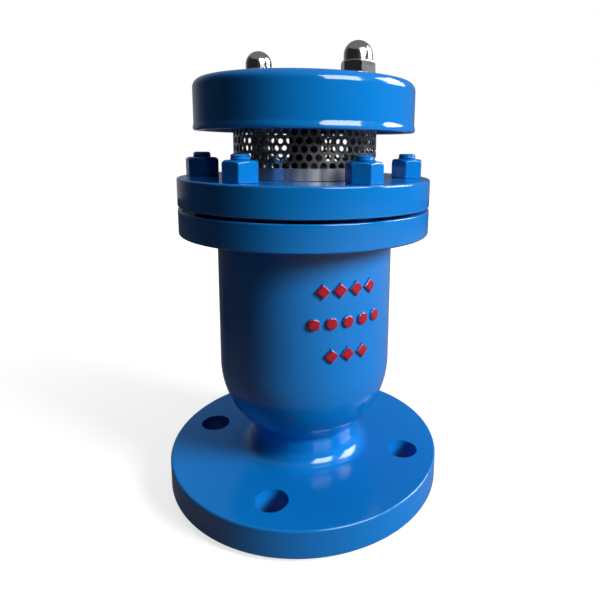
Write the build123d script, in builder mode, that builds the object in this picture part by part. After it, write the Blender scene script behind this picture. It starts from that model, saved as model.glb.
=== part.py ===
from build123d import *
from math import pi, sin, sqrt, radians
import os

# A flanged quick exhaust valve in millimetres. It stands on its inlet flange, with the origin
# at the centre of the raised face below the flange, +Z up the stem, and its front towards -Y.
# A float lifts a rubber faced disc against a seat in the bonnet, which shuts the vent.

# Inlet flange and neck
flange_d = 165.0
flange_rim = 16.0
raised_d = 102.0
raised_high = 2.0
bolt_circle_d = 125.0
bolt_hole_d = 18.0
bolt_count = 4
bore_d = 50.0
neck_wall = 7.0
neck_high = 16.9
neck_foot_fillet = 9.0
neck_top_fillet = 6.0

# Barrel and the bolted joint above it
barrel_wall = 7.0
barrel_fillet = 3.0
edge_round = 1.2
joint_rim = 13.8
joint_face_high = 1.1
gasket_thick = 1.5
gasket_inset = 1.0
stud_d = 10.0
stud_count = 6
stud_wall_gap = 3.5
stud_edge = 12.6
stud_hole_gap = 0.75
thread_gap = 0.1
stud_in_body = 11.0
stud_past_nut = 3.0
nut_flats = 17.0
nut_high = 10.8

# Bonnet, with the vent port and the hub of the stem guide
bonnet_thick = 15.2
port_d = 50.0
hub_d = 26.0
hub_gap = 3.0
hub_rise = 3.0
rib_count = 3
rib_wide = 5.0

# Seat ring, pressed into the underside of the bonnet
seat_wide = 5.0
seat_sunk = 4.0
seat_proud = 3.0
seat_lip = 1.4
press_gap = 0.02

# Stem guide, a collared bush pressed into the hub
guide_d = 19.0
guide_collar_d = 25.0
guide_collar_high = 3.0
guide_rise = 30.0

# Float: a ball of two thin shells, its stem, and the distance that it rises
lift = 18.0
ball_wall = 1.0
weld_gap = 0.1
boss_d = 18.0
boss_high = 6.5
stem_d = 10.0
stem_free = 4.6
stem_gap = 0.3
stem_nut_flats = 16.0
stem_nut_high = 5.0

# Valve disc, with a rubber seal held down by a screwed ring
disc_thick = 3.0
disc_rim = 2.0
disc_rim_high = 2.4
seal_thick = 4.0
seal_wide = 14.0
seal_past_seat = 3.0
seat_rest_gap = 0.2
clamp_thick = 2.4
clamp_wall_gap = 2.0
disc_screw_d = 4.0
disc_screw_count = 6
disc_screw_head_d = 7.0
disc_screw_head_high = 2.4

# Float cage: rods that hang from the bonnet, with a ring below that the ball rests on
rod_d = 5.0
rod_count = 4
rod_wall_gap = 1.4
rod_in_bonnet = 8.0
rod_past_nut = 1.5
rod_nut_flats = 8.0
rod_nut_high = 4.0
ball_gap = 1.0
ball_rest_gap = 0.3
ring_thick = 3.0
ring_hold = 4.0
ring_wall_gap = 1.2
ring_drop = 2.0
ring_port_d = 12.0

# Perforated screen and the strip round its foot
screen_thick = 1.0
screen_groove = 1.5
groove_gap = 0.1
hole_d = 3.5
hole_sides = 6
holes_round = 52
first_row_up = 7.5
row_count = 5
strip_high = 6.5
strip_thick = 0.8
strip_lap = 8.5
strip_lap_turn = -7.3

# Cap, held on two studs
cap_overhang = 21.3
cap_wall = 6.0
cap_plate = 6.0
cap_deep = 27.5
cap_above = 25.7
cap_round = 5.0
cap_rim_round = 1.5
cap_stud_d = 10.0
cap_stud_count = 2
cap_stud_turn = 26.0
cap_stud_wall = 4.5
cap_stud_web = 1.2
cap_stud_gap = 0.8
cap_hole_gap = 0.5
washer_d = 20.0
washer_thick = 1.8
acorn_flats = 17.0
acorn_hex_high = 8.0
acorn_dome_d = 15.6
acorn_high = 18.5
acorn_thread_deep = 12.0

# The first joint stud stands at the front, and the bolt holes straddle that line
front = -90.0
hole_turn = front + 180 / bolt_count
cap_turn = front + cap_stud_turn

# Radii, from the vent port outwards
bore_r = bore_d / 2
neck_r = bore_r + neck_wall
port_r = port_d / 2
seat_r = port_r + seat_wide
seal_r = seat_r + seal_past_seat
disc_r = seal_r + disc_rim
clamp_r = port_r - clamp_wall_gap
spigot_r = seal_r - seal_wide
disc_screw_circle = (spigot_r + stem_nut_flats / sqrt(3)) / 2
guide_in = stem_d / 2 + stem_gap
ball_r = disc_r
ring_in = ball_r - ring_hold
seat_mid = (port_r + seat_r) / 2
rod_circle = ball_r + ball_gap + rod_d / 2
chamber_r = rod_circle + rod_nut_flats / sqrt(3) + rod_wall_gap
barrel_r = chamber_r + barrel_wall
stud_circle = barrel_r + stud_wall_gap + stud_d / 2
joint_r = stud_circle + stud_edge
joint_face_r = stud_circle - stud_d / 2 - 2 * stud_hole_gap
cap_stud_circle = port_r + cap_stud_wall + cap_stud_d / 2
screen_in = cap_stud_circle + cap_stud_d / 2 + cap_stud_gap
screen_r = screen_in + screen_thick
strip_r = screen_r + press_gap + strip_thick
cap_r = screen_r + cap_overhang

# Levels, from the inlet face upwards
flange_top = raised_high + flange_rim
neck_meets = flange_top + neck_high
dome_z = neck_meets + sqrt(barrel_r**2 - neck_r**2)
bore_meets = dome_z - sqrt(chamber_r**2 - bore_r**2)
ring_top = dome_z - ring_drop
ball_z = ring_top + sqrt((ball_r + ball_rest_gap) ** 2 - ring_in**2)
boss_top = ball_z + ball_r + boss_high
disc_under = boss_top + stem_free + stem_nut_high
disc_top = disc_under + disc_thick
seal_top = disc_top + seal_thick
clamp_top = seal_top + clamp_thick
seat_face = seal_top + lift + seat_rest_gap
bonnet_under = seat_face + seat_proud
joint_face = bonnet_under - gasket_thick
joint_top = joint_face - joint_face_high
joint_under = joint_top - joint_rim
bonnet_top = bonnet_under + bonnet_thick
hub_under = clamp_top + stem_nut_high + lift + hub_gap
hub_top = bonnet_top + hub_rise
guide_top = bonnet_top + guide_rise
stem_top = guide_top - lift - stem_gap
cap_rim_z = bonnet_top + cap_above
cap_top = cap_rim_z + cap_deep
cap_under = cap_top - cap_plate
cap_stud_foot = bonnet_under + seat_sunk + cap_stud_web
washer_top = cap_top + washer_thick
row_pitch = 2 * pi * screen_r / holes_round * sin(radians(60))
rows_end_up = first_row_up + (row_count - 0.5) * row_pitch


def near(sketch, x, z):
    """The corner of a sketch that lies closest to a radius and a height."""
    return sketch.vertices().sort_by_distance((x, z, 0))[0]


def hex_nut(flats, high, hole_across):
    """A nut that stands on z = 0, its upper corners turned down to a cone."""
    corner_r = flats / sqrt(3)
    with BuildPart() as nut:
        with BuildSketch():
            RegularPolygon(corner_r, 6)
            Circle(hole_across / 2, mode=Mode.SUBTRACT)
        extrude(amount=high)
        with BuildSketch(Plane.XZ):
            with BuildLine():
                Polyline(
                    (0, 0),
                    (corner_r, 0),
                    (corner_r, high - (corner_r - flats / 2) / sqrt(3)),
                    (flats / 2, high),
                    (0, high),
                    close=True,
                )
            make_face()
        revolve(axis=Axis.Z, mode=Mode.INTERSECT)
    return nut.part


def plain_rod(diameter, low, high):
    """An upright rod with both ends chamfered."""
    with BuildPart() as rod:
        with BuildSketch(Plane.XY.offset(low)):
            Circle(diameter / 2)
        extrude(amount=high - low)
        chamfer(rod.edges().filter_by(GeomType.CIRCLE), diameter / 10)
    return rod.part


def flat_ring(low, high, outer_r, inner_r):
    """A flat ring between two heights."""
    with BuildPart() as ring:
        with BuildSketch(Plane.XY.offset(low)):
            Circle(outer_r)
            Circle(inner_r, mode=Mode.SUBTRACT)
        extrude(amount=high - low)
    return ring.part


def screen_tube(low, high):
    """A length of plain screen, with a flat for each hole round it."""
    with BuildPart() as tube:
        with BuildSketch(Plane.XY.offset(low)):
            RegularPolygon(screen_r, holes_round, rotation=180 / holes_round)
            RegularPolygon(screen_in, holes_round, rotation=180 / holes_round, mode=Mode.SUBTRACT)
        extrude(amount=high - low)
    return tube.part


def screen_row(shift):
    """One row of screen, its holes turned by a share of their pitch."""
    turns = [(hole + shift) * 360 / holes_round for hole in range(holes_round)]
    with BuildPart() as row:
        add(screen_tube(-row_pitch / 2, row_pitch / 2))
        with BuildSketch(*[Plane.XY.rotated((0, 0, t)) * Plane.YZ.offset(screen_in) for t in turns]):
            RegularPolygon(hole_d / 2, hole_sides)
        extrude(amount=2 * screen_thick, both=True, mode=Mode.SUBTRACT)
    return row.part


def save(made, name):
    """Labels a finished sub-part and writes it."""
    made.part.label = name
    export_step(made.part, f"parts/{name}.step")


os.makedirs("parts", exist_ok=True)
screen_rows = [screen_row(0), screen_row(0.5)]

# Body: inlet flange, neck, domed barrel and upper flange, cast in one
with BuildPart() as valve_body:
    with BuildSketch(Plane.XZ) as outside:
        with BuildLine():
            Polyline(
                (0, 0),
                (raised_d / 2, 0),
                (raised_d / 2, raised_high),
                (flange_d / 2, raised_high),
                (flange_d / 2, flange_top),
                (neck_r, flange_top),
                (neck_r, neck_meets),
            )
            RadiusArc((neck_r, neck_meets), (barrel_r, dome_z), -barrel_r)
            Polyline(
                (barrel_r, dome_z),
                (barrel_r, joint_under),
                (joint_r, joint_under),
                (joint_r, joint_top),
                (joint_face_r, joint_top),
                (joint_face_r, joint_face),
                (0, joint_face),
                (0, 0),
            )
        make_face()
        for x, z, radius in (
            (flange_d / 2, raised_high, edge_round),
            (flange_d / 2, flange_top, edge_round),
            (neck_r, flange_top, neck_foot_fillet),
            (neck_r, neck_meets, neck_top_fillet),
            (barrel_r, joint_under, barrel_fillet),
            (joint_r, joint_under, edge_round),
            (joint_r, joint_top, edge_round),
        ):
            fillet(near(outside, x, z), radius)
    revolve(axis=Axis.Z)
    with BuildSketch(Plane.XZ):
        with BuildLine():
            Polyline((0, joint_face), (0, 0), (bore_r, 0), (bore_r, bore_meets))
            RadiusArc((bore_r, bore_meets), (chamber_r, dome_z), -chamber_r)
            Polyline((chamber_r, dome_z), (chamber_r, joint_face), (0, joint_face))
        make_face()
    revolve(axis=Axis.Z, mode=Mode.SUBTRACT)
    with BuildSketch(Plane.XY):
        with PolarLocations(bolt_circle_d / 2, bolt_count, hole_turn):
            Circle(bolt_hole_d / 2)
    extrude(amount=flange_top, mode=Mode.SUBTRACT)
    with BuildSketch(Plane.XY.offset(joint_top - stud_in_body)):
        with PolarLocations(stud_circle, stud_count, front):
            Circle(stud_d / 2 + thread_gap)
    extrude(amount=stud_in_body, mode=Mode.SUBTRACT)
save(valve_body, "valve_body")

# Gasket, clamped between the raised joint face and the bonnet
with BuildPart() as bonnet_gasket:
    add(flat_ring(joint_face, bonnet_under, joint_face_r - gasket_inset, chamber_r + gasket_inset))
save(bonnet_gasket, "bonnet_gasket")

# Bonnet: a flange with the vent port, and a hub for the stem guide on three ribs
with BuildPart() as bonnet:
    with BuildSketch(Plane.XZ) as blank:
        with BuildLine():
            Polyline(
                (port_r, bonnet_under),
                (joint_r, bonnet_under),
                (joint_r, bonnet_top),
                (port_r, bonnet_top),
                close=True,
            )
        make_face()
        for z in (bonnet_under, bonnet_top):
            fillet(near(blank, joint_r, z), edge_round)
    revolve(axis=Axis.Z)
    with BuildSketch(Plane.XY.offset(hub_under)):
        with PolarLocations(0, rib_count, front + 180):
            Rectangle(port_r + seat_lip, rib_wide, align=(Align.MIN, Align.CENTER))
    extrude(amount=bonnet_top - hub_under)
    with BuildSketch(Plane.XY.offset(hub_under)):
        Circle(hub_d / 2)
    extrude(amount=hub_top - hub_under)
    with BuildSketch(Plane.XY.offset(hub_under)):
        Circle(guide_d / 2 + press_gap)
    extrude(amount=hub_top - hub_under, mode=Mode.SUBTRACT)
    with BuildSketch(Plane.XY.offset(bonnet_under)):
        Circle(seat_r + press_gap)
    extrude(amount=seat_sunk, mode=Mode.SUBTRACT)
    with BuildSketch(Plane.XY.offset(bonnet_top - screen_groove)):
        Circle(screen_r + groove_gap)
        Circle(screen_in - groove_gap, mode=Mode.SUBTRACT)
    extrude(amount=screen_groove, mode=Mode.SUBTRACT)
    with BuildSketch(Plane.XY.offset(bonnet_under)):
        with PolarLocations(stud_circle, stud_count, front):
            Circle(stud_d / 2 + stud_hole_gap)
    extrude(amount=bonnet_thick, mode=Mode.SUBTRACT)
    with BuildSketch(Plane.XY.offset(cap_stud_foot)):
        with PolarLocations(cap_stud_circle, cap_stud_count, cap_turn):
            Circle(cap_stud_d / 2 + thread_gap)
    extrude(amount=bonnet_top - cap_stud_foot, mode=Mode.SUBTRACT)
    with BuildSketch(Plane.XY.offset(bonnet_under)):
        with PolarLocations(rod_circle, rod_count, hole_turn):
            Circle(rod_d / 2 + thread_gap)
    extrude(amount=rod_in_bonnet, mode=Mode.SUBTRACT)
save(bonnet, "bonnet")

# Studs and nuts of the bolted joint
joint_stud = plain_rod(stud_d, joint_top - stud_in_body, bonnet_top + nut_high + stud_past_nut)
with BuildPart() as bonnet_studs:
    with PolarLocations(stud_circle, stud_count, front):
        add(joint_stud)
save(bonnet_studs, "bonnet_studs")

joint_nut = hex_nut(nut_flats, nut_high, stud_d + 2 * thread_gap)
with BuildPart(Plane.XY.offset(bonnet_top)) as bonnet_nuts:
    with PolarLocations(stud_circle, stud_count, front):
        add(joint_nut)
save(bonnet_nuts, "bonnet_nuts")

# Seat ring, with a narrow raised lip for the rubber to close on
with BuildPart() as seat_ring:
    with BuildSketch(Plane.XZ):
        with BuildLine():
            Polyline(
                (port_r, bonnet_under + seat_sunk),
                (port_r, seat_face + seat_lip),
                (seat_mid - seat_lip / 2, seat_face),
                (seat_mid + seat_lip / 2, seat_face),
                (seat_r, seat_face + seat_lip),
                (seat_r, bonnet_under + seat_sunk),
                close=True,
            )
        make_face()
    revolve(axis=Axis.Z)
save(seat_ring, "seat_ring")

# Stem guide, standing up inside the screen on its collar
with BuildPart() as stem_guide:
    with BuildSketch(Plane.XZ) as bush:
        with BuildLine():
            Polyline(
                (guide_in, hub_under),
                (guide_d / 2, hub_under),
                (guide_d / 2, hub_top),
                (guide_collar_d / 2, hub_top),
                (guide_collar_d / 2, hub_top + guide_collar_high),
                (guide_d / 2, hub_top + guide_collar_high),
                (guide_d / 2, guide_top),
                (guide_in, guide_top),
                close=True,
            )
        make_face()
        chamfer(near(bush, guide_d / 2, guide_top), edge_round)
    revolve(axis=Axis.Z)
save(stem_guide, "stem_guide")

# Float ball: two pressed shells that meet at the weld line
with BuildPart(Plane.XY.offset(ball_z)) as float_ball:
    Sphere(ball_r)
    Sphere(ball_r - ball_wall, mode=Mode.SUBTRACT)
    Cylinder(ball_r + ball_wall, weld_gap, mode=Mode.SUBTRACT)
save(float_ball, "float_ball")

# Boss, welded on the crown of the ball and threaded for the stem
with BuildPart() as float_boss:
    with BuildSketch(Plane.XY.offset(ball_z)):
        Circle(boss_d / 2)
        Circle(stem_d / 2 + thread_gap, mode=Mode.SUBTRACT)
    extrude(amount=boss_top - ball_z)
    with Locations((0, 0, ball_z)):
        Sphere(ball_r + press_gap, mode=Mode.SUBTRACT)
save(float_boss, "float_boss")

# Stem, from the ball through the disc into the guide
with BuildPart() as float_stem:
    add(plain_rod(stem_d, ball_z + ball_r + press_gap, stem_top))
save(float_stem, "float_stem")

# Nuts on the stem, one below the disc and one above its clamp ring
stem_nut = hex_nut(stem_nut_flats, stem_nut_high, stem_d + 2 * thread_gap)
with BuildPart() as stem_locknuts:
    with Locations((0, 0, disc_under - stem_nut_high), (0, 0, clamp_top)):
        add(stem_nut)
save(stem_locknuts, "stem_locknuts")

# Valve disc, a shallow dish that holds the rubber at its edge
with BuildPart() as valve_disc:
    with BuildSketch(Plane.XY.offset(disc_under)):
        Circle(disc_r)
    extrude(amount=disc_thick + disc_rim_high)
    with BuildSketch(Plane.XY.offset(disc_top)):
        Circle(seal_r + press_gap)
    extrude(amount=disc_rim_high, mode=Mode.SUBTRACT)
    with BuildSketch(Plane.XY.offset(disc_under)) as bores:
        Circle(stem_d / 2 + thread_gap)
        with PolarLocations(disc_screw_circle, disc_screw_count):
            Circle(disc_screw_d / 2 + thread_gap)
    extrude(amount=disc_thick, mode=Mode.SUBTRACT)
save(valve_disc, "valve_disc")

# Rubber seal ring
with BuildPart() as disc_seal:
    add(flat_ring(disc_top, seal_top, seal_r, spigot_r + press_gap))
save(disc_seal, "disc_seal")

# Clamp ring, whose spigot goes down through the rubber to the disc
with BuildPart() as seal_clamp_ring:
    with BuildSketch(Plane.XY.offset(disc_top)):
        Circle(spigot_r)
    extrude(amount=seal_thick)
    with BuildSketch(Plane.XY.offset(seal_top)):
        Circle(clamp_r)
    extrude(amount=clamp_thick)
    with BuildSketch(Plane.XY.offset(disc_top)):
        Circle(stem_d / 2 + thread_gap)
        with PolarLocations(disc_screw_circle, disc_screw_count):
            Circle(disc_screw_d / 2 + thread_gap)
    extrude(amount=seal_thick + clamp_thick, mode=Mode.SUBTRACT)
save(seal_clamp_ring, "seal_clamp_ring")

# Cheese head screws of the clamp ring
with BuildPart() as seal_screws:
    with BuildSketch(Plane.XY.offset(disc_under)):
        with PolarLocations(disc_screw_circle, disc_screw_count):
            Circle(disc_screw_d / 2)
    extrude(amount=clamp_top - disc_under)
    with BuildSketch(Plane.XY.offset(clamp_top)):
        with PolarLocations(disc_screw_circle, disc_screw_count):
            Circle(disc_screw_head_d / 2)
    extrude(amount=disc_screw_head_high)
save(seal_screws, "seal_screws")

# Cage rods, screwed up into the bonnet
cage_rod = plain_rod(
    rod_d, ring_top - ring_thick - rod_nut_high - rod_past_nut, bonnet_under + rod_in_bonnet
)
with BuildPart() as guide_rods:
    with PolarLocations(rod_circle, rod_count, hole_turn):
        add(cage_rod)
save(guide_rods, "guide_rods")

# Cage ring, with round bites between the rods that let water past the resting ball
with BuildPart() as cage_ring:
    with BuildSketch(Plane.XY.offset(ring_top - ring_thick)):
        Circle(chamber_r - ring_wall_gap)
        Circle(ring_in, mode=Mode.SUBTRACT)
        with PolarLocations(ring_in, rod_count, front):
            Circle(ring_port_d / 2, mode=Mode.SUBTRACT)
        with PolarLocations(rod_circle, rod_count, hole_turn):
            Circle(rod_d / 2 + thread_gap, mode=Mode.SUBTRACT)
    extrude(amount=ring_thick)
save(cage_ring, "cage_ring")

# Nuts below the cage ring
cage_nut = hex_nut(rod_nut_flats, rod_nut_high, rod_d + 2 * thread_gap)
with BuildPart(Plane.XY.offset(ring_top - ring_thick - rod_nut_high)) as cage_nuts:
    with PolarLocations(rod_circle, rod_count, hole_turn):
        add(cage_nut)
save(cage_nuts, "cage_nuts")

# Screen: sheet rolled to a tube, with staggered rows of holes, one flat of the tube to each hole
with BuildPart() as screen_mesh:
    for low, high in (
        (bonnet_top - screen_groove, bonnet_top + first_row_up - row_pitch / 2),
        (bonnet_top + rows_end_up, cap_under + screen_groove),
    ):
        add(screen_tube(low, high))
    for row in range(row_count):
        with Locations((0, 0, bonnet_top + first_row_up + row * row_pitch)):
            add(screen_rows[row % 2], clean=False)
save(screen_mesh, "screen_mesh")

# Strip spot welded round the foot of the screen, its ends lapped
with BuildPart() as screen_strip:
    with BuildSketch(Plane.XY.offset(bonnet_top)):
        Circle(strip_r)
        Circle(screen_r + press_gap, mode=Mode.SUBTRACT)
    extrude(amount=strip_high)
    with BuildSketch(Plane.XY.offset(bonnet_top)):
        Circle(strip_r + strip_thick)
        Circle(strip_r, mode=Mode.SUBTRACT)
        with PolarLocations(strip_r, 1, front + strip_lap_turn):
            Rectangle(4 * strip_thick, strip_lap, mode=Mode.INTERSECT)
    extrude(amount=strip_high)
save(screen_strip, "screen_strip")

# Cap: a round hood over the screen
with BuildPart() as cap:
    with BuildSketch(Plane.XZ) as hood:
        with BuildLine():
            Polyline(
                (0, cap_under),
                (cap_r - cap_wall, cap_under),
                (cap_r - cap_wall, cap_rim_z),
                (cap_r, cap_rim_z),
                (cap_r, cap_top),
                (0, cap_top),
                close=True,
            )
        make_face()
        fillet(near(hood, cap_r, cap_top), cap_round)
        fillet(near(hood, cap_r, cap_rim_z), cap_rim_round)
        fillet(near(hood, cap_r - cap_wall, cap_rim_z), cap_rim_round)
        fillet(near(hood, cap_r - cap_wall, cap_under), cap_round)
    revolve(axis=Axis.Z)
    with BuildSketch(Plane.XY.offset(cap_under)):
        with PolarLocations(cap_stud_circle, cap_stud_count, cap_turn):
            Circle(cap_stud_d / 2 + cap_hole_gap)
    extrude(amount=cap_plate, mode=Mode.SUBTRACT)
    with BuildSketch(Plane.XY.offset(cap_under)):
        Circle(screen_r + groove_gap)
        Circle(screen_in - groove_gap, mode=Mode.SUBTRACT)
    extrude(amount=screen_groove, mode=Mode.SUBTRACT)
save(cap, "cap")

# Studs of the cap, with washers and acorn nuts
cap_stud = plain_rod(cap_stud_d, cap_stud_foot, washer_top + acorn_thread_deep - thread_gap)
with BuildPart() as cap_studs:
    with PolarLocations(cap_stud_circle, cap_stud_count, cap_turn):
        add(cap_stud)
save(cap_studs, "cap_studs")

washer = flat_ring(cap_top, washer_top, washer_d / 2, cap_stud_d / 2 + thread_gap)
with BuildPart() as cap_washers:
    with PolarLocations(cap_stud_circle, cap_stud_count, cap_turn):
        add(washer)
save(cap_washers, "cap_washers")

with BuildPart() as acorn:
    add(hex_nut(acorn_flats, acorn_hex_high, cap_stud_d + 2 * thread_gap))
    with BuildSketch(Plane.XY.offset(acorn_hex_high)):
        Circle(acorn_dome_d / 2)
    extrude(amount=acorn_high - acorn_hex_high - acorn_dome_d / 2)
    with Locations((0, 0, acorn_high - acorn_dome_d / 2)):
        Sphere(acorn_dome_d / 2)
    with BuildSketch():
        Circle(cap_stud_d / 2 + thread_gap)
    extrude(amount=acorn_thread_deep, mode=Mode.SUBTRACT)
with BuildPart(Plane.XY.offset(washer_top)) as cap_nuts:
    with PolarLocations(cap_stud_circle, cap_stud_count, cap_turn):
        add(acorn.part)
save(cap_nuts, "cap_nuts")
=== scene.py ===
import bmesh
import bpy
from math import cos, pi, radians, sin, sqrt, tau
from mathutils import Matrix, Vector


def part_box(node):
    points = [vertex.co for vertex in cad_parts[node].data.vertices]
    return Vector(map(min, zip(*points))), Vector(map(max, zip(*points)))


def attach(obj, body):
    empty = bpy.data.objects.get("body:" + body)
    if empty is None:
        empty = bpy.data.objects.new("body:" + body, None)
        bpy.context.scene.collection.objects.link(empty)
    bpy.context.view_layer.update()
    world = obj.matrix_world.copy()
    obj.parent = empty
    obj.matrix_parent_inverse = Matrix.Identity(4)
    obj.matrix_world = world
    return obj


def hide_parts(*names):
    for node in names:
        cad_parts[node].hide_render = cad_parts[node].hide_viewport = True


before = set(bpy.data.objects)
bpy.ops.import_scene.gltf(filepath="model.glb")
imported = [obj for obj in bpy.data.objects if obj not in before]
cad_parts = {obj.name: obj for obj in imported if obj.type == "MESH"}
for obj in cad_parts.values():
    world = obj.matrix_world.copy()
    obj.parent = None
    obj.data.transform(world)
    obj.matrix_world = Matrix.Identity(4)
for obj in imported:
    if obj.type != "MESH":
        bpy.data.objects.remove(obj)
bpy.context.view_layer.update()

# Camera. It stands a little above the vent, 29 degrees round to the left of the joint stud at the
# front. The photograph is a crop of a wider one, so its centre of view lies up and to the right of
# its middle, which the shift copies.
photo_side = 600
view_centre = (338.6, 232.0)
focal_px = 503.6
photo_turn = radians(-29.0)
camera_place = Vector((0.0019, -0.2994, 0.2030))
camera_pitch, camera_yaw, camera_roll = 0.1704, -0.0607, 0.0121

camera_data = bpy.data.cameras.new("camera")
camera_data.sensor_width = 36.0
camera_data.lens = focal_px / photo_side * camera_data.sensor_width
camera_data.shift_x = 0.5 - view_centre[0] / photo_side
camera_data.shift_y = view_centre[1] / photo_side - 0.5
camera_data.clip_start = 0.01
camera = bpy.data.objects.new("camera", camera_data)
bpy.context.scene.collection.objects.link(camera)
camera_aim = Matrix.Rotation(camera_yaw, 4, "Z") @ Matrix.Rotation(pi / 2 - camera_pitch, 4, "X")
camera_aim = camera_aim @ Matrix.Rotation(camera_roll, 4, "Z")
camera.matrix_world = (
    Matrix.Rotation(photo_turn, 4, "Z") @ Matrix.Translation(camera_place) @ camera_aim
)
bpy.context.scene.camera = camera


# Studio light. The key lamp gives the paint its shading. Two windows, where the gloss paint of the
# photograph mirrors them, are seen in mirrors only. A dark wall runs round them, out of sight, so
# that the paint mirrors little else and falls to navy; it glows only towards the back.
def studio_place(angle, away, height):
    """A point round the valve, by its angle to the right of the camera."""
    turn = photo_turn - pi / 2 + radians(angle)
    return Vector((away * cos(turn), away * sin(turn), height))


def soft_box(name, place, size, power, in_mirrors):
    """A rectangular lamp that faces the valve, and either shows in mirrors or lights the paint."""
    lamp = bpy.data.lights.new(name, "AREA")
    lamp.shape = "RECTANGLE"
    lamp.size, lamp.size_y = size
    lamp.energy = power
    made = bpy.data.objects.new(name, lamp)
    bpy.context.scene.collection.objects.link(made)
    aim = (valve_middle - place).to_track_quat("-Z", "Y").to_matrix().to_4x4()
    made.matrix_world = Matrix.Translation(place) @ aim
    made.visible_glossy = in_mirrors
    made.visible_diffuse = not in_mirrors


valve_middle = Vector((0, 0, 0.12))
soft_box("key", studio_place(60, 1.5, 0.9), (0.6, 0.6), 45.0, False)
soft_box("ceiling", studio_place(-150, 0.7, 1.6), (1.2, 1.2), 10.0, False)
soft_box("window_front", studio_place(38, 1.15, 0.86), (0.85, 0.7), 26.0, True)
soft_box("window_side", studio_place(102, 1.15, 0.78), (0.7, 0.7), 22.0, True)

wall_away, wall_high, wall_steps = 1.7, 1.7, 64
wall_glows = ((50, 0.0), (90, 0.1), (145, 0.14), (175, 0.1), (215, 0.28), (250, 0.02), (295, 0.0))
wall_bm = bmesh.new()
bmesh.ops.create_circle(wall_bm, radius=wall_away, segments=wall_steps)
risen = bmesh.ops.extrude_edge_only(wall_bm, edges=wall_bm.edges)["geom"]
for vert in risen:
    if isinstance(vert, bmesh.types.BMVert):
        vert.co.z = wall_high
wall_mesh = bpy.data.meshes.new("dark_wall")
wall_bm.to_mesh(wall_mesh)
wall_bm.free()
dark_wall = bpy.data.objects.new("dark_wall", wall_mesh)
bpy.context.scene.collection.objects.link(dark_wall)
dark_wall.visible_camera = False
dark_cloth = bpy.data.materials.new("dark_cloth")
dark_cloth.use_nodes = True
nodes, wires = dark_cloth.node_tree.nodes, dark_cloth.node_tree.links
cloth = nodes["Principled BSDF"]
cloth.inputs["Base Color"].default_value = (0.02, 0.021, 0.024, 1)
cloth.inputs["Roughness"].default_value = 0.9
cloth.inputs["Emission Color"].default_value = (0.9, 0.95, 1.0, 1)
wall_point = nodes.new("ShaderNodeTexCoord")
wall_turn = nodes.new("ShaderNodeTexGradient")
wall_turn.gradient_type = "RADIAL"
wires.new(wall_point.outputs["Object"], wall_turn.inputs["Vector"])
wall_ramp = nodes.new("ShaderNodeValToRGB")
wall_ramp.color_ramp.interpolation = "EASE"
for angle, glow in wall_glows:
    stop = wall_ramp.color_ramp.elements.new((photo_turn + radians(angle - 90)) / tau + 0.5)
    stop.color = (glow, glow, glow, 1)
for end in (-1, 0):
    wall_ramp.color_ramp.elements.remove(wall_ramp.color_ramp.elements[end])
wires.new(wall_turn.outputs["Fac"], wall_ramp.inputs["Fac"])
wall_rays = nodes.new("ShaderNodeLightPath")
wall_light = nodes.new("ShaderNodeMath")
wall_light.operation = "MULTIPLY"
wires.new(wall_ramp.outputs["Color"], wall_light.inputs[0])
wires.new(wall_rays.outputs["Is Glossy Ray"], wall_light.inputs[1])
wires.new(wall_light.outputs[0], cloth.inputs["Emission Strength"])
wall_mesh.materials.append(dark_cloth)


# White surroundings. The sky and the floor are white to the camera and in mirrors, and grey to the
# paint, so that they don't flood it with light. In mirrors the floor also carries painted light,
# brighter on the lamps' side near the valve. Near the valve's foot its glow is weaker, a painted
# shade, so that the valve's shadow shows there.
def is_seen(node_tree):
    """1 for rays from the camera or through glass. Rays off gloss add the share at input 1."""
    rays = node_tree.nodes.new("ShaderNodeLightPath")
    clear = node_tree.nodes.new("ShaderNodeMath")
    clear.operation = "MAXIMUM"
    node_tree.links.new(rays.outputs["Is Camera Ray"], clear.inputs[0])
    node_tree.links.new(rays.outputs["Is Transmission Ray"], clear.inputs[1])
    total = node_tree.nodes.new("ShaderNodeMath")
    total.operation = "MULTIPLY_ADD"
    node_tree.links.new(rays.outputs["Is Glossy Ray"], total.inputs[0])
    node_tree.links.new(clear.outputs[0], total.inputs[2])
    return total


sky_in_mirrors = 0.2
world = bpy.data.worlds.new("studio")
world.use_nodes = True
bpy.context.scene.world = world
sky_color = world.node_tree.nodes.new("ShaderNodeMix")
sky_color.data_type = "RGBA"
sky_color.inputs["A"].default_value = (0.02, 0.022, 0.026, 1)
sky_color.inputs["B"].default_value = (1, 1, 1, 1)
sky_seen = is_seen(world.node_tree)
sky_seen.inputs[1].default_value = sky_in_mirrors
world.node_tree.links.new(sky_seen.outputs[0], sky_color.inputs["Factor"])
world.node_tree.links.new(
    sky_color.outputs["Result"], world.node_tree.nodes["Background"].inputs["Color"]
)

floor_reach = 6.0
shadow_near, shadow_far = 0.08, 0.55
mirror_near, mirror_far = 0.6, 1.1
painted_light_side = studio_place(70, 1, 0)
floor_mesh = bpy.data.meshes.new("floor")
floor_corners = [
    (x * floor_reach, y * floor_reach, 0) for x, y in ((-1, -1), (1, -1), (1, 1), (-1, 1))
]
floor_mesh.from_pydata(floor_corners, [], [(0, 1, 2, 3)])
floor = bpy.data.objects.new("floor", floor_mesh)
bpy.context.scene.collection.objects.link(floor)
floor_paint = bpy.data.materials.new("floor_white")
floor_paint.use_nodes = True
nodes, wires = floor_paint.node_tree.nodes, floor_paint.node_tree.links
matt = nodes["Principled BSDF"]
matt.inputs["Roughness"].default_value = 0.9
matt.inputs["Specular IOR Level"].default_value = 0.0
matt.inputs["Emission Color"].default_value = (1, 1, 1, 1)
floor_seen = is_seen(floor_paint.node_tree)
floor_color = nodes.new("ShaderNodeMix")
floor_color.data_type = "RGBA"
floor_color.inputs["A"].default_value = (0.09, 0.09, 0.1, 1)
floor_color.inputs["B"].default_value = (0.4, 0.4, 0.4, 1)
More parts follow.
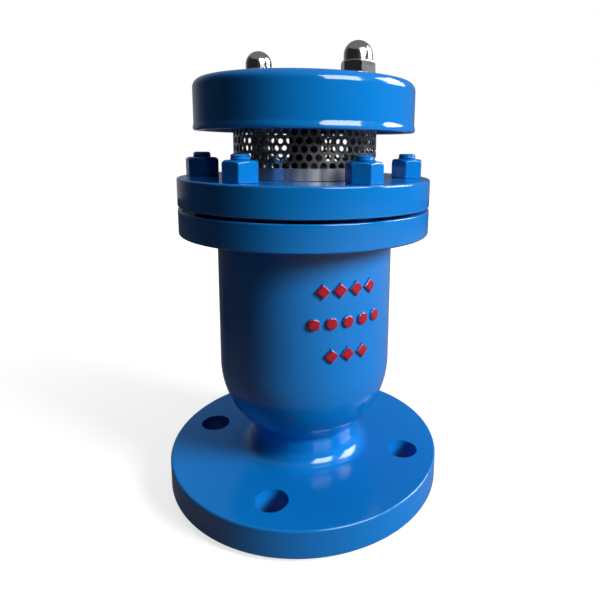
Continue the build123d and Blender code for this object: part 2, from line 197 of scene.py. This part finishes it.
wires.new(floor_seen.outputs[0], floor_color.inputs["Factor"])
wires.new(floor_color.outputs["Result"], matt.inputs["Base Color"])
# Painted reflection: to gloss rays the floor glows brighter towards the lamps' side of the valve,
# and this fades out from 0.6 to 1.1 m away.
floor_point = nodes.new("ShaderNodeTexCoord")
floor_side = nodes.new("ShaderNodeVectorMath")
floor_side.operation = "DOT_PRODUCT"
floor_side.inputs[1].default_value = painted_light_side
wires.new(floor_point.outputs["Object"], floor_side.inputs[0])
floor_painted_light_share = nodes.new("ShaderNodeMapRange")
floor_painted_light_share.inputs["From Min"].default_value = -0.3
floor_painted_light_share.inputs["From Max"].default_value = 0.8
floor_painted_light_share.inputs["To Max"].default_value = 0.4
wires.new(floor_side.outputs["Value"], floor_painted_light_share.inputs["Value"])
floor_away = nodes.new("ShaderNodeVectorMath")
floor_away.operation = "LENGTH"
wires.new(floor_point.outputs["Object"], floor_away.inputs[0])
floor_near = nodes.new("ShaderNodeMapRange")
floor_near.inputs["From Min"].default_value = mirror_near
floor_near.inputs["From Max"].default_value = mirror_far
floor_near.inputs["To Min"].default_value = 1.0
floor_near.inputs["To Max"].default_value = 0.05
wires.new(floor_away.outputs["Value"], floor_near.inputs["Value"])
floor_painted_reflection = nodes.new("ShaderNodeMath")
floor_painted_reflection.operation = "MULTIPLY"
wires.new(floor_painted_light_share.outputs["Result"], floor_painted_reflection.inputs[0])
wires.new(floor_near.outputs["Result"], floor_painted_reflection.inputs[1])
wires.new(floor_painted_reflection.outputs[0], floor_seen.inputs[1])
# Painted shade: the floor's glow is weaker near the valve's foot and grows to white away from it.
floor_glow_dimmed_at_foot = nodes.new("ShaderNodeMapRange")
floor_glow_dimmed_at_foot.inputs["From Min"].default_value = shadow_near
floor_glow_dimmed_at_foot.inputs["From Max"].default_value = shadow_far
floor_glow_dimmed_at_foot.inputs["To Min"].default_value = 0.72
floor_glow_dimmed_at_foot.inputs["To Max"].default_value = 1.0
wires.new(floor_away.outputs["Value"], floor_glow_dimmed_at_foot.inputs["Value"])
floor_light = nodes.new("ShaderNodeMath")
floor_light.operation = "MULTIPLY"
wires.new(floor_seen.outputs[0], floor_light.inputs[0])
wires.new(floor_glow_dimmed_at_foot.outputs["Result"], floor_light.inputs[1])
wires.new(floor_light.outputs[0], matt.inputs["Emission Strength"])
floor_mesh.materials.append(floor_paint)


# Valve body: inlet flange, neck, domed barrel and upper flange, one steel casting. Its flanges are
# machined, and the whole is sprayed with one thick coat of blue gloss enamel, which rounds every
# edge and lies with a fine orange peel over the sand cast skin of the barrel.
def make_sprayed_skin():
    """The height of orange peel, casting waves and specks of dust, and the depth of the paint."""
    group = bpy.data.node_groups.new("sprayed_skin", "ShaderNodeTree")
    for label in ("Peel", "Casting"):
        group.interface.new_socket(label, in_out="INPUT", socket_type="NodeSocketFloat")
    for label in ("Height", "Depth"):
        group.interface.new_socket(label, in_out="OUTPUT", socket_type="NodeSocketFloat")
    nodes, wires = group.nodes, group.links
    given, out = nodes.new("NodeGroupInput"), nodes.new("NodeGroupOutput")
    point = nodes.new("ShaderNodeTexCoord")
    noises = {}
    for label, scale, detail in (("peel", 420.0, 2.0), ("sand", 70.0, 3.0), ("wave", 16.0, 2.0)):
        noise = nodes.new("ShaderNodeTexNoise")
        noise.inputs["Scale"].default_value = scale
        noise.inputs["Detail"].default_value = detail
        wires.new(point.outputs["Object"], noise.inputs["Vector"])
        noises[label] = noise.outputs["Fac"]
    cast = nodes.new("ShaderNodeMath")
    cast.operation = "MULTIPLY_ADD"
    cast.inputs[1].default_value = 5.0
    wires.new(noises["wave"], cast.inputs[0])
    wires.new(noises["sand"], cast.inputs[2])
    cast_share = nodes.new("ShaderNodeMath")
    cast_share.operation = "MULTIPLY"
    wires.new(cast.outputs[0], cast_share.inputs[0])
    wires.new(given.outputs["Casting"], cast_share.inputs[1])
    height = nodes.new("ShaderNodeMath")
    height.operation = "MULTIPLY_ADD"
    wires.new(noises["peel"], height.inputs[0])
    wires.new(given.outputs["Peel"], height.inputs[1])
    wires.new(cast_share.outputs[0], height.inputs[2])
    dust = nodes.new("ShaderNodeTexVoronoi")
    dust.inputs["Scale"].default_value = 110.0
    wires.new(point.outputs["Object"], dust.inputs["Vector"])
    speck = nodes.new("ShaderNodeMapRange")
    speck.interpolation_type = "SMOOTHSTEP"
    speck.inputs["From Min"].default_value = 0.07
    speck.inputs["From Max"].default_value = 0.0
    speck.inputs["To Max"].default_value = 4.0
    wires.new(dust.outputs["Distance"], speck.inputs["Value"])
    rare = nodes.new("ShaderNodeMath")
    rare.operation = "GREATER_THAN"
    rare.inputs[1].default_value = 0.72
    wires.new(dust.outputs["Color"], rare.inputs[0])
    dusty = nodes.new("ShaderNodeMath")
    dusty.operation = "MULTIPLY_ADD"
    wires.new(speck.outputs["Result"], dusty.inputs[0])
    wires.new(rare.outputs[0], dusty.inputs[1])
    wires.new(height.outputs[0], dusty.inputs[2])
    wires.new(dusty.outputs[0], out.inputs["Height"])
    wires.new(noises["wave"], out.inputs["Depth"])


def enamel(name, color, tint, peel, casting):
    """Thick gloss enamel, a little darker where it lies deeper."""
    made = bpy.data.materials.new(name)
    made.use_nodes = True
    nodes, wires = made.node_tree.nodes, made.node_tree.links
    shader = nodes["Principled BSDF"]
    shader.inputs["Roughness"].default_value = 0.45
    shader.inputs["Specular IOR Level"].default_value = 0.0
    shader.inputs["Coat Weight"].default_value = 1.0
    shader.inputs["Coat Roughness"].default_value = 0.09
    shader.inputs["Coat Tint"].default_value = (*tint, 1)
    skin = nodes.new("ShaderNodeGroup")
    skin.node_tree = bpy.data.node_groups["sprayed_skin"]
    skin.inputs["Peel"].default_value = peel
    skin.inputs["Casting"].default_value = casting
    deeper = [c * 0.8 for c in color]
    depth = nodes.new("ShaderNodeMix")
    depth.data_type = "RGBA"
    depth.inputs["A"].default_value = (*deeper, 1)
    depth.inputs["B"].default_value = (*color, 1)
    wires.new(skin.outputs["Depth"], depth.inputs["Factor"])
    wires.new(depth.outputs["Result"], shader.inputs["Base Color"])
    bump = nodes.new("ShaderNodeBump")
    bump.inputs["Strength"].default_value = 0.35
    bump.inputs["Distance"].default_value = 0.0002
    wires.new(skin.outputs["Height"], bump.inputs["Height"])
    wires.new(bump.outputs["Normal"], shader.inputs["Normal"])
    wires.new(bump.outputs["Normal"], shader.inputs["Coat Normal"])
    return made


def finish(node, material):
    """Gives a carried-over solid its material."""
    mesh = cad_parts[node].data
    mesh.materials.clear()
    mesh.materials.append(material)


make_sprayed_skin()
enamel_blue, blue_tint = (0.004, 0.245, 0.6), (0.6, 0.8, 1.0)
blue_cast = enamel("blue_enamel_cast", enamel_blue, blue_tint, peel=0.5, casting=0.8)
blue_machined = enamel("blue_enamel_machined", enamel_blue, blue_tint, peel=0.5, casting=0.15)
inlet_flange_top, dull_fade = 0.018, 0.005
nodes, wires = blue_cast.node_tree.nodes, blue_cast.node_tree.links
cast_point = nodes.new("ShaderNodeTexCoord")
cast_height = nodes.new("ShaderNodeSeparateXYZ")
wires.new(cast_point.outputs["Object"], cast_height.inputs["Vector"])
flange_dull = nodes.new("ShaderNodeMapRange")
flange_dull.inputs["From Min"].default_value = inlet_flange_top
flange_dull.inputs["From Max"].default_value = inlet_flange_top + dull_fade
flange_dull.inputs["To Min"].default_value = 0.2
flange_dull.inputs["To Max"].default_value = 0.08
wires.new(cast_height.outputs["Z"], flange_dull.inputs["Value"])
wires.new(flange_dull.outputs["Result"], nodes["Principled BSDF"].inputs["Coat Roughness"])
finish("valve_body", blue_cast)


# Foundry marks: three rows of plain pads, cast proud of the barrel at the front. They are touched
# in by hand with red enamel after the blue, which leaves their sides blue.
def piece(name, bm, materials):
    """Turns built geometry into a smooth shaded object, with its hard edges kept."""
    hard_edge = radians(35)
    bmesh.ops.recalc_face_normals(bm, faces=bm.faces)
    for face in bm.faces:
        face.smooth = True
    for edge in bm.edges:
        if len(edge.link_faces) == 2:
            edge.smooth = edge.calc_face_angle() < hard_edge
    mesh = bpy.data.meshes.new(name)
    bm.to_mesh(mesh)
    bm.free()
    for material in materials:
        mesh.materials.append(material)
    made = bpy.data.objects.new(name, mesh)
    bpy.context.scene.collection.objects.link(made)
    return made


enamel_red, red_tint = (0.38, 0.008, 0.025), (1.0, 0.7, 0.75)
red_mark = enamel("red_enamel", enamel_red, red_tint, peel=0.8, casting=0.3)
barrel_r = 0.05152
pad_proud, pad_sunk, pad_steps, red_from_level = 0.0015, 0.0008, 24, 2
pad_rows = ((0.1291, 4, 4, 0.0044), (0.1116, 5, 24, 0.0036), (0.0937, 3, 4, 0.0044))
pad_middle, pad_spacing = radians(-93), radians(10.4)
pad_levels = (
    (1.0, -pad_sunk),
    (0.97, 0.3 * pad_proud),
    (0.88, 0.75 * pad_proud),
    (0.74, 0.95 * pad_proud),
    (0.5, pad_proud),
)
pad_bm = bmesh.new()
for row_z, pad_count, sides, pad_r in pad_rows:
    for pad in range(pad_count):
        middle = pad_middle + (pad - (pad_count - 1) / 2) * pad_spacing
        rings = []
        for share, proud in pad_levels:
            ring = []
            for step in range(pad_steps):
                angle = tau * step / pad_steps
                off = angle % (tau / sides) - pi / sides
                across = share * pad_r * cos(pi / sides) / cos(off)
                out = barrel_r + proud
                round_to = middle + across * cos(angle) / barrel_r
                ring.append(
                    pad_bm.verts.new(
                        (out * cos(round_to), out * sin(round_to), row_z + across * sin(angle))
                    )
                )
            rings.append(ring)
        for level, (lower, upper) in enumerate(zip(rings, rings[1:])):
            for step in range(pad_steps):
                after = (step + 1) % pad_steps
                face = pad_bm.faces.new((lower[step], lower[after], upper[after], upper[step]))
                face.material_index = int(level >= red_from_level)
        pad_bm.faces.new(rings[-1]).material_index = 1
cast_marks = piece("cast_marks", pad_bm, (blue_cast, red_mark))
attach(cast_marks, "housing")


# Gasket: a flat ring cut from dark fibre sheet. The bonnet clamps it on the raised face of the
# body, deep in the slot between the two flanges.
def soft_sheet(name, color, roughness):
    """Dull rubber or fibre, mottled like a cut sheet."""
    made = bpy.data.materials.new(name)
    made.use_nodes = True
    nodes, wires = made.node_tree.nodes, made.node_tree.links
    nodes["Principled BSDF"].inputs["Roughness"].default_value = roughness
    point = nodes.new("ShaderNodeTexCoord")
    mottle = nodes.new("ShaderNodeTexNoise")
    mottle.inputs["Scale"].default_value = 300.0
    wires.new(point.outputs["Object"], mottle.inputs["Vector"])
    darker = [c * 0.6 for c in color]
    tint = nodes.new("ShaderNodeMix")
    tint.data_type = "RGBA"
    tint.inputs["A"].default_value = (*darker, 1)
    tint.inputs["B"].default_value = (*color, 1)
    wires.new(mottle.outputs["Fac"], tint.inputs["Factor"])
    wires.new(tint.outputs["Result"], nodes["Principled BSDF"].inputs["Base Color"])
    bump = nodes.new("ShaderNodeBump")
    bump.inputs["Strength"].default_value = 0.3
    bump.inputs["Distance"].default_value = 0.0001
    wires.new(mottle.outputs["Fac"], bump.inputs["Height"])
    wires.new(bump.outputs["Normal"], nodes["Principled BSDF"].inputs["Normal"])
    return made


finish("bonnet_gasket", soft_sheet("fibre_sheet", (0.03, 0.03, 0.03), 0.8))

# Bonnet: a thick steel disc with the vent port and the hub of the stem guide, machined all over.
# Six studs hold it down on the gasket, and it is painted with the body.
finish("bonnet", blue_machined)


# Joint nuts. Each hex nut was screwed down on its stud before the valve was painted, so the
# enamel rounds its corners, and no two nuts stop at the same turn.
def add_hex(bm, place, turn, flats, high, chamfers, bore):
    """A hexagon with a bore, its corners turned down to a cone below or above, where wanted."""
    side_steps, land = 6, flats / 2 - nut_land_inset
    count = 6 * side_steps
    rings = [[] for _ in range(6)]
    for step in range(count):
        angle = tau * step / count
        out = flats / 2 / cos(angle % (pi / 3) - pi / 6)
        falls = [(out - land) / sqrt(3) if wanted else 0 for wanted in chamfers]
        way = Vector((cos(angle + turn), sin(angle + turn), 0))
        levels = (
            (bore, 0),
            (land, 0),
            (out, falls[0]),
            (out, high - falls[1]),
            (land, high),
            (bore, high),
        )
        for ring, (radius, up) in zip(rings, levels):
            ring.append(bm.verts.new(Vector(place) + way * radius + Vector((0, 0, up))))
    for lower, upper in zip(rings, rings[1:] + rings[:1]):
        for step in range(count):
            after = (step + 1) % count
            bm.faces.new((lower[step], lower[after], upper[after], upper[step]))


def soften(made, width):
    """Rounds the hard edges of a piece, and keeps its flats flat."""
    bevel = made.modifiers.new("round", "BEVEL")
    bevel.width = width
    bevel.segments = 3
    bevel.limit_method = "ANGLE"
    bevel.angle_limit = radians(25)
    bevel.harden_normals = True


stud_low, stud_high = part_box("bonnet_studs")
nut_low, nut_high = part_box("bonnet_nuts")
stud_r = 0.005
stud_circle = stud_high.y - stud_r
nut_flats, nut_land_inset, nut_corner_round = 0.017, 0.0009, 0.0009
nut_tall = nut_high.z - nut_low.z
nut_turns = {-90: -15, -30: 17, 30: 5, 90: -22, 150: -6, 210: 32}
stud_places = [
    (stud_circle * cos(radians(angle)), stud_circle * sin(radians(angle))) for angle in nut_turns
]
nut_bm = bmesh.new()
for (angle, turn), (x, y) in zip(nut_turns.items(), stud_places):
    nut_turn = radians(angle + turn)
    add_hex(nut_bm, (x, y, nut_low.z), nut_turn, nut_flats, nut_tall, (False, True), stud_r)
joint_nuts = piece("joint_nuts", nut_bm, [blue_machined])
soften(joint_nuts, nut_corner_round)
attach(joint_nuts, "housing")
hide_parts("bonnet_nuts")


# Joint studs, screwed into the body. Where their ends stand out of the nuts, paint half fills the
# threads.
def lathe(name, outline, materials, steps, places=((0, 0),)):
    """Turned pieces: an outline of (radius, height) points spun round one or more upright axes."""
    bm = bmesh.new()
    turns = [tau * step / steps for step in range(steps)]
    for x, y in places:
        rings = []
        for radius, z in outline:
            around = turns if radius > tiny else turns[:1]
            rings.append(
                [bm.verts.new((x + radius * cos(t), y + radius * sin(t), z)) for t in around]
            )
        for lower, upper in zip(rings, rings[1:]):
            for step in range(steps):
                after = (step + 1) % steps
                corners = [lower[step % len(lower)], lower[after % len(lower)]]
                corners += [upper[after % len(upper)], upper[step % len(upper)]]
                bm.faces.new(list(dict.fromkeys(corners)))
    return piece(name, bm, materials)


tiny = 1e-6
thread_pitch, thread_deep, thread_in_nut = 0.0015, 0.0004, 0.001
stud_tip, stud_steps = 0.0009, 40
groove_shape = ((0.0, 0.0), (0.3, 0.0), (0.5, 0.7), (0.65, 1.0), (0.8, 0.7))
threads_from = nut_high.z - thread_in_nut
groove_count = int((stud_high.z - stud_tip - threads_from) / thread_pitch)
stud_outline = [(0, stud_low.z), (stud_r, stud_low.z)]
for groove in range(groove_count):
    for along, deep in groove_shape:
        groove_z = threads_from + (groove + along) * thread_pitch
        stud_outline.append((stud_r - deep * thread_deep, groove_z))
stud_outline += [
    (stud_r, threads_from + groove_count * thread_pitch),
    (stud_r - 0.3 * stud_tip, stud_high.z - 0.7 * stud_tip),
    (stud_r - 1.1 * stud_tip, stud_high.z - 0.1 * stud_tip),
    (stud_r - 1.6 * stud_tip, stud_high.z),
    (0, stud_high.z),
]
joint_studs = lathe("joint_studs", stud_outline, [blue_machined], stud_steps, stud_places)
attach(joint_studs, "housing")
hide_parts("bonnet_studs")

# Paint that has run to a thick edge along the joint, on the bonnet above and on the body below. It
# makes the slot over the gasket narrower than the steel does.
bonnet_low, bonnet_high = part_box("bonnet")
gasket_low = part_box("bonnet_gasket")[0]
body_step, bead_steps = 0.0011, 192
bead_shape_mm = (
    (-0.004, 2.0),
    (0.008, 1.5),
    (0.012, 1.0),
    (0.012, 0.35),
    (-0.04, 0.0),
    (-0.18, -0.25),
    (-0.45, -0.4),
    (-0.9, -0.42),
    (-1.5, -0.25),
    (-2.0, 0.05),
)
for name, edge_z, way in (
    ("bead_above", bonnet_low.z, 1),
    ("bead_below", gasket_low.z - body_step, -1),
):
    bead_outline = [
        (bonnet_high.x + out / 1000, edge_z + way * up / 1000) for out, up in bead_shape_mm[::way]
    ]
    bead = lathe(name, bead_outline, [blue_machined], bead_steps)
    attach(bead, "housing")


# Inner pieces of stainless steel, turned on a lathe: the cage of rods, ring and nuts that hangs
# from the bonnet, and the stem, boss, disc, clamp ring, nuts and screws that rise with the ball.
def make_tool_marks():
    """Fine lines that follow a piece, as a mask and as a height."""
    group = bpy.data.node_groups.new("tool_marks", "ShaderNodeTree")
    group.interface.new_socket("Stretch", in_out="INPUT", socket_type="NodeSocketVector")
    for label in ("Mask", "Height"):
        group.interface.new_socket(label, in_out="OUTPUT", socket_type="NodeSocketFloat")
    nodes, wires = group.nodes, group.links
    given, out = nodes.new("NodeGroupInput"), nodes.new("NodeGroupOutput")
    point = nodes.new("ShaderNodeTexCoord")
    drawn = nodes.new("ShaderNodeVectorMath")
    drawn.operation = "MULTIPLY"
    wires.new(point.outputs["Object"], drawn.inputs[0])
    wires.new(given.outputs["Stretch"], drawn.inputs[1])
    lines = nodes.new("ShaderNodeTexNoise")
    lines.inputs["Scale"].default_value = 260.0
    lines.inputs["Detail"].default_value = 4.0
    wires.new(drawn.outputs["Vector"], lines.inputs["Vector"])
    smear = nodes.new("ShaderNodeTexNoise")
    smear.inputs["Scale"].default_value = 40.0
    smear.inputs["Detail"].default_value = 3.0
    wires.new(point.outputs["Object"], smear.inputs["Vector"])
    both = nodes.new("ShaderNodeMath")
    both.operation = "MULTIPLY"
    wires.new(lines.outputs["Fac"], both.inputs[0])
    wires.new(smear.outputs["Fac"], both.inputs[1])
    mask = nodes.new("ShaderNodeMapRange")
    mask.inputs["From Min"].default_value = 0.1
    mask.inputs["From Max"].default_value = 0.42
    wires.new(both.outputs[0], mask.inputs["Value"])
    wires.new(mask.outputs["Result"], out.inputs["Mask"])
    wires.new(lines.outputs["Fac"], out.inputs["Height"])


def metal(name, color, roughness, relief, stretch):
    """Bare metal whose colour and gloss change with its tool marks."""
    made = bpy.data.materials.new(name)
    made.use_nodes = True
    nodes, wires = made.node_tree.nodes, made.node_tree.links
    shader = nodes["Principled BSDF"]
    shader.inputs["Metallic"].default_value = 1.0
    marks = nodes.new("ShaderNodeGroup")
    marks.node_tree = bpy.data.node_groups["tool_marks"]
    marks.inputs["Stretch"].default_value = stretch
    gloss = nodes.new("ShaderNodeMapRange")
    gloss.inputs["To Min"].default_value = roughness * 0.75
    gloss.inputs["To Max"].default_value = roughness * 1.35
    wires.new(marks.outputs["Mask"], gloss.inputs["Value"])
    wires.new(gloss.outputs["Result"], shader.inputs["Roughness"])
    worn = [c * 0.72 for c in color]
    tint = nodes.new("ShaderNodeMix")
    tint.data_type = "RGBA"
    tint.inputs["A"].default_value = (*color, 1)
    tint.inputs["B"].default_value = (*worn, 1)
    wires.new(marks.outputs["Mask"], tint.inputs["Factor"])
    wires.new(tint.outputs["Result"], shader.inputs["Base Color"])
    bump = nodes.new("ShaderNodeBump")
    bump.inputs["Strength"].default_value = relief
    bump.inputs["Distance"].default_value = 0.00005
    wires.new(marks.outputs["Height"], bump.inputs["Height"])
    wires.new(bump.outputs["Normal"], shader.inputs["Normal"])
    return made


make_tool_marks()
turned_lines, even_marks = (0.4, 0.4, 5.0), (1.0, 1.0, 1.0)
turned_steel = metal("stainless_turned", (0.50, 0.50, 0.50), 0.3, 0.4, turned_lines)
for node in (
    "guide_rods",
    "cage_ring",
    "cage_nuts",
    "float_boss",
    "float_stem",
    "stem_locknuts",
    "valve_disc",
    "seal_clamp_ring",
    "seal_screws",
):
    finish(node, turned_steel)

# Float ball: two shells pressed from thin stainless sheet, left satin, and welded together with a
# seam round the middle.
ball_steel = metal("ball_stainless", (0.58, 0.58, 0.59), 0.22, 0.15, even_marks)
finish("float_ball", ball_steel)
ball_low, ball_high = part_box("float_ball")
ball_middle = (ball_low.z + ball_high.z) / 2
ball_steps, seam_steps = 128, 16
seam_thick, seam_sunk, seam_rise = 0.00025, 0.00005, 0.0009
seam_outline = [
    (ball_high.x + seam_thick * cos(turn) - seam_sunk, ball_middle + seam_rise * sin(turn))
    for turn in (tau * step / seam_steps for step in range(seam_steps + 1))
]
ball_seam = lathe("ball_seam", seam_outline, [ball_steel], ball_steps)
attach(ball_seam, "float")

# Seat ring and stem guide, both turned from bronze and pressed into the bonnet. The guide stands
# in the vent, inside the screen, and its bronze is painted almost black as the shade that lies in
# there.
finish("seat_ring", metal("bronze", (0.42, 0.26, 0.12), 0.42, 0.4, turned_lines))
finish("stem_guide", metal("bronze_in_painted_shade", (0.09, 0.065, 0.045), 0.5, 0.4, turned_lines))

# Seal: a flat ring of black nitrile rubber on the disc, which the clamp ring and its screws hold
# down.
finish("disc_seal", soft_sheet("seal_rubber", (0.02, 0.02, 0.02), 0.6))

# Screen: stainless sheet, punched with staggered rows of round holes, rolled to a tube and spot
# welded. It stands in a groove of the bonnet and reaches up into the cap. Each hole is the middle
# of a six sided cell, and the cells fit together like a honeycomb.
screen_low, screen_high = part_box("screen_mesh")
screen_r, sheet_thick = 0.0413, 0.001
holes_round, hole_r, hole_lip, hole_steps = 52, 0.00175, 0.00018, 24
hole_pitch = tau * screen_r / holes_round
row_pitch = hole_pitch * sqrt(3) / 2
cell_foot = -hole_pitch / sqrt(3) / 2
first_row_up = 0.0076
first_row_z = nut_low.z + first_row_up
first_row_turn = radians(-91.8)
row_count = int((screen_high.z - hole_r - first_row_z) / row_pitch)
screen_in = screen_r - sheet_thick
screen_bm = bmesh.new()
for row in range(row_count):
    row_z = first_row_z + row * row_pitch
    for hole in range(holes_round):
        middle = first_row_turn + (hole + 0.5 * (row % 2)) * tau / holes_round
        rings = [[] for _ in range(6)]
        for step in range(hole_steps):
            turn = tau * step / hole_steps
            reach = hole_pitch / 2 / cos((turn + pi / 6) % (pi / 3) - pi / 6)
            side, z = reach * cos(turn), row_z + reach * sin(turn)
            if row == 0 and z < row_z + cell_foot + tiny:
                z = screen_low.z
            if row == row_count - 1 and z > row_z - cell_foot - tiny:
                z = screen_high.z
            wide, narrow = hole_r + hole_lip, hole_r
            levels = (
                (side, z, screen_in),
                (wide * cos(turn), row_z + wide * sin(turn), screen_in),
                (narrow * cos(turn), row_z + narrow * sin(turn), screen_in + hole_lip),
                (narrow * cos(turn), row_z + narrow * sin(turn), screen_r - hole_lip),
                (wide * cos(turn), row_z + wide * sin(turn), screen_r),
                (side, z, screen_r),
            )
            for ring, (across, up, radius) in zip(rings, levels):
                angle = middle + across / screen_r
                ring.append(screen_bm.verts.new((radius * cos(angle), radius * sin(angle), up)))
        for inner, outer in zip(rings, rings[1:]):
            for step in range(hole_steps):
                after = (step + 1) % hole_steps
                screen_bm.faces.new((inner[step], inner[after], outer[after], outer[step]))
bmesh.ops.remove_doubles(screen_bm, verts=screen_bm.verts, dist=tiny)
rolled_lines = (1.0, 1.0, 0.08)
sheet_steel = metal("stainless_sheet", (0.34, 0.34, 0.33), 0.27, 0.3, rolled_lines)
screen = piece("screen", screen_bm, [sheet_steel])
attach(screen, "housing")
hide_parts("screen_mesh")

# Strip of stainless sheet, wound once round the foot of the screen. Its end climbs over its start,
# where it is spot welded, and its edges are broken.
strip_low, strip_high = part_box("screen_strip")
strip_thick, strip_edge, strip_gap = 0.0008, 0.00025, 0.00003
strip_tall = strip_high.z - strip_low.z
strip_start, strip_lap, strip_step_up = radians(-103.5), radians(12.3), radians(5)
strip_in = screen_r + strip_gap
strip_section = (
    (0, 0),
    (strip_thick - strip_edge, 0),
    (strip_thick, strip_edge),
    (strip_thick, strip_tall - strip_edge),
    (strip_thick - strip_edge, strip_tall),
    (0, strip_tall),
)
strip_steps = 240
strip_bm = bmesh.new()
loops = []
for step in range(strip_steps + 1):
    turn = (tau + strip_lap) * step / strip_steps
    climb = min(1.0, max(0.0, (turn - tau + strip_step_up) / strip_step_up))
    inside = strip_in + strip_thick * climb
    way = Vector((cos(strip_start + turn), sin(strip_start + turn), 0))
    loops.append(
        [
            strip_bm.verts.new(way * (inside + deep) + Vector((0, 0, strip_low.z + up)))
            for deep, up in strip_section
        ]
    )
for one, two in zip(loops, loops[1:]):
    for corner in range(len(strip_section)):
        after = (corner + 1) % len(strip_section)
        strip_bm.faces.new((one[corner], two[corner], two[after], one[after]))
strip_bm.faces.new(loops[0])
strip_bm.faces.new(loops[-1])
strip_steel = metal("stainless_strip", (0.6, 0.61, 0.61), 0.34, 0.2, rolled_lines)
strip = piece("strip", strip_bm, [strip_steel])
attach(strip, "housing")
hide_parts("screen_strip")

# Spot welds that join the strip to the screen, in pairs round it and one pair on its lap: shallow
# pits, each with a raised and browned rim.
weld_count, weld_r, weld_steps, weld_start = 14, 0.0006, 16, radians(-105.7)
weld_heights = [strip_low.z + share * strip_tall for share in (0.27, 0.73)]
weld_shape = ((1.0, -0.00002), (0.85, 0.00006), (0.6, 0.00003), (0.3, 0.00001))
weld_turns = [weld_start + tau * weld / weld_count for weld in range(weld_count)]
weld_bm = bmesh.new()
for weld, weld_turn in enumerate(weld_turns):
    weld_face = strip_in + strip_thick * (1 if weld else 2)
    for weld_z in weld_heights:
        rings = []
        for share, proud in weld_shape:
            ring = []
            for step in range(weld_steps):
                angle = tau * step / weld_steps
                round_to = weld_turn + share * weld_r * cos(angle) / weld_face
                out = weld_face + proud
                weld_up = weld_z + share * weld_r * sin(angle)
                ring.append(weld_bm.verts.new((out * cos(round_to), out * sin(round_to), weld_up)))
            rings.append(ring)
        for lower, upper in zip(rings, rings[1:]):
            for step in range(weld_steps):
                after = (step + 1) % weld_steps
                weld_bm.faces.new((lower[step], lower[after], upper[after], upper[step]))
        weld_bm.faces.new(rings[-1])
weld_brown = metal("weld_brown", (0.32, 0.31, 0.30), 0.4, 0.4, even_marks)
spot_welds = piece("spot_welds", weld_bm, [weld_brown])
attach(spot_welds, "housing")

# Cap: a round steel hood with a rolled upper edge, painted like the bonnet and the body. The paint
# has run down to a fat uneven edge round its foot.
finish("cap", blue_machined)
cap_low, cap_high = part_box("cap")
fat_edge_shape_mm = (
    (0.0, 4.2),
    (0.06, 3.6),
    (0.2, 3.0),
    (0.36, 2.4),
    (0.47, 1.8),
    (0.5, 1.2),
    (0.4, 0.6),
    (0.1, 0.15),
    (-0.4, -0.05),
    (-1.2, -0.1),
    (-1.9, 0.1),
)
fat_steps = 240
fat_bm = bmesh.new()
fat_lines = []
for step in range(fat_steps):
    turn = tau * step / fat_steps
    thick = 1.0 + 0.22 * sin(3 * turn + 1.0) + 0.14 * sin(8 * turn) + 0.1 * sin(19 * turn + 2.0)
    way = Vector((cos(turn), sin(turn), 0))
    fat_lines.append(
        [
            fat_bm.verts.new(
                way * (cap_high.x + (max(out, 0) * thick + min(out, 0)) / 1000)
                + Vector((0, 0, cap_low.z + up / 1000))
            )
            for out, up in fat_edge_shape_mm
        ]
    )
for one, two in zip(fat_lines, fat_lines[1:] + fat_lines[:1]):
    for level in range(len(fat_edge_shape_mm) - 1):
        fat_bm.faces.new((one[level], one[level + 1], two[level + 1], two[level]))
fat_edge = piece("fat_edge", fat_bm, [blue_machined])
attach(fat_edge, "housing")

# Studs, washers and acorn nuts that hold the cap down, of polished stainless, put on after the
# painting. Each nut is a chamfered hexagon with a dome turned on it.
polished_steel = metal("stainless_polished", (0.74, 0.74, 0.75), 0.15, 0.1, even_marks)
finish("cap_studs", turned_steel)
finish("cap_washers", polished_steel)
acorn_low, acorn_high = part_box("cap_nuts")
cap_stud_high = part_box("cap_studs")[1]
cap_stud_r = 0.005
cap_stud_x, cap_stud_y = cap_stud_high.x - cap_stud_r, cap_stud_high.y - cap_stud_r
cap_stud_places = ((cap_stud_x, -cap_stud_y), (-cap_stud_x, cap_stud_y))
acorn_flats, acorn_hex_tall, acorn_edge_round = 0.017, 0.008, 0.0003
acorn_turns = (8, 31)
acorn_bm = bmesh.new()
for (x, y), turn in zip(cap_stud_places, acorn_turns):
    place = (x, y, acorn_low.z)
    add_hex(acorn_bm, place, radians(turn), acorn_flats, acorn_hex_tall, (True, True), cap_stud_r)
acorn_hexes = piece("acorn_hexes", acorn_bm, [polished_steel])
soften(acorn_hexes, acorn_edge_round)
dome_r, dome_sunk, dome_levels, dome_steps = 0.0078, 0.0002, 16, 64
dome_foot = acorn_low.z + acorn_hex_tall
dome_middle = acorn_high.z - dome_r
dome_outline = [(dome_r, dome_foot - dome_sunk)]
for level in range(dome_levels + 1):
    angle = pi / 2 * level / dome_levels
    dome_outline.append((dome_r * cos(angle), dome_middle + dome_r * sin(angle)))
acorn_domes = lathe("acorn_domes", dome_outline, [polished_steel], dome_steps, cap_stud_places)
for made in (acorn_hexes, acorn_domes):
    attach(made, "housing")
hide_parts("cap_nuts")

# Colours show as they are written.
bpy.context.scene.view_settings.view_transform = "Standard"
